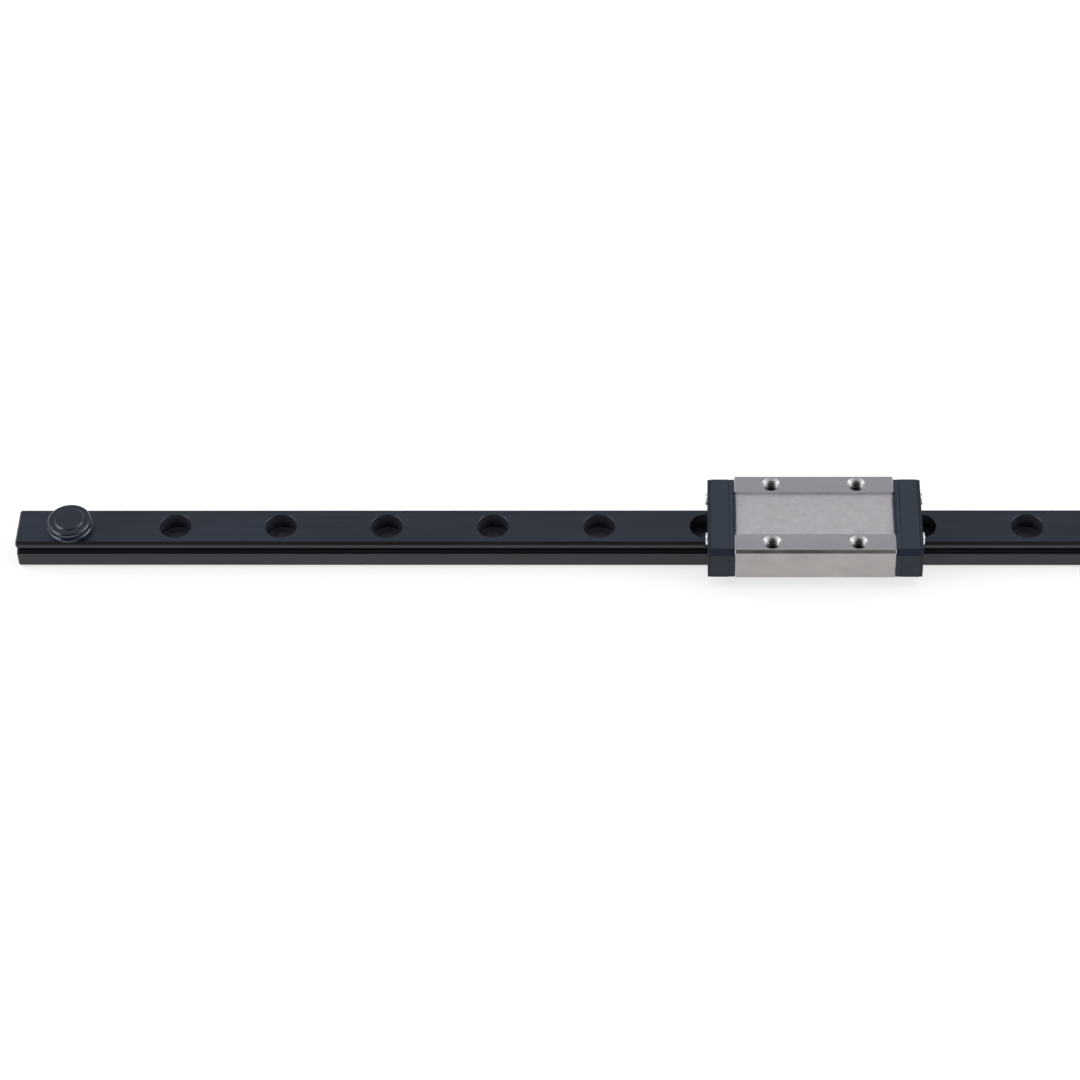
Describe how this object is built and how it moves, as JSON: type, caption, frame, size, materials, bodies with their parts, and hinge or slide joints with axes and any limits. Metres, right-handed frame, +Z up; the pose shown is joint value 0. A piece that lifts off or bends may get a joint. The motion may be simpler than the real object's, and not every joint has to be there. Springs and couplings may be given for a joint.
{
  "type": "profile linear guide rail",
  "caption": "Miniature profile linear guide: a ground rail with side ball tracks and counterbored screw holes, carrying a ball-bearing carriage between push-in stoppers.",
  "frame": {"origin": "middle of the rail's underside, below its middle screw hole", "axes": "+X along the rail, +Y across it to the side away from the picture's camera, +Z up from the rail's underside to the carriage's mounting faces"},
  "size_m": [0.3, 0.02, 0.01],
  "materials": {
    "rail_black_steel": "satin",
    "block_ground_steel": "satin",
    "cap_black_plastic": "matte",
    "seal_rubber": "matte",
    "screw_steel": "gloss",
    "ball_steel": "gloss",
    "stopper_rubber": "satin"
  },
  "bodies": {
    "rail_body": {"rail": "rail_black_steel", "stopper_left": "stopper_rubber", "stopper_right": "stopper_rubber"},
    "carriage": {"carriage_block": "block_ground_steel", "return_plate_left": "cap_black_plastic", "end_cap_left": "cap_black_plastic", "end_seal_left": "seal_rubber", "cap_screw_left_front": "screw_steel", "cap_screw_left_back": "screw_steel", "return_plate_right": "cap_black_plastic", "end_cap_right": "cap_black_plastic", "end_seal_right": "seal_rubber", "cap_screw_right_front": "screw_steel", "cap_screw_right_back": "screw_steel", "ball_row_front": "ball_steel", "ball_row_back": "ball_steel"}
  },
  "joints": [
    {"name": "carriage_slide", "type": "slide", "parent": "rail_body", "child": "carriage", "axis": [1, 0, 0], "range_m": [-0.11567, 0.11513]}
  ]
}
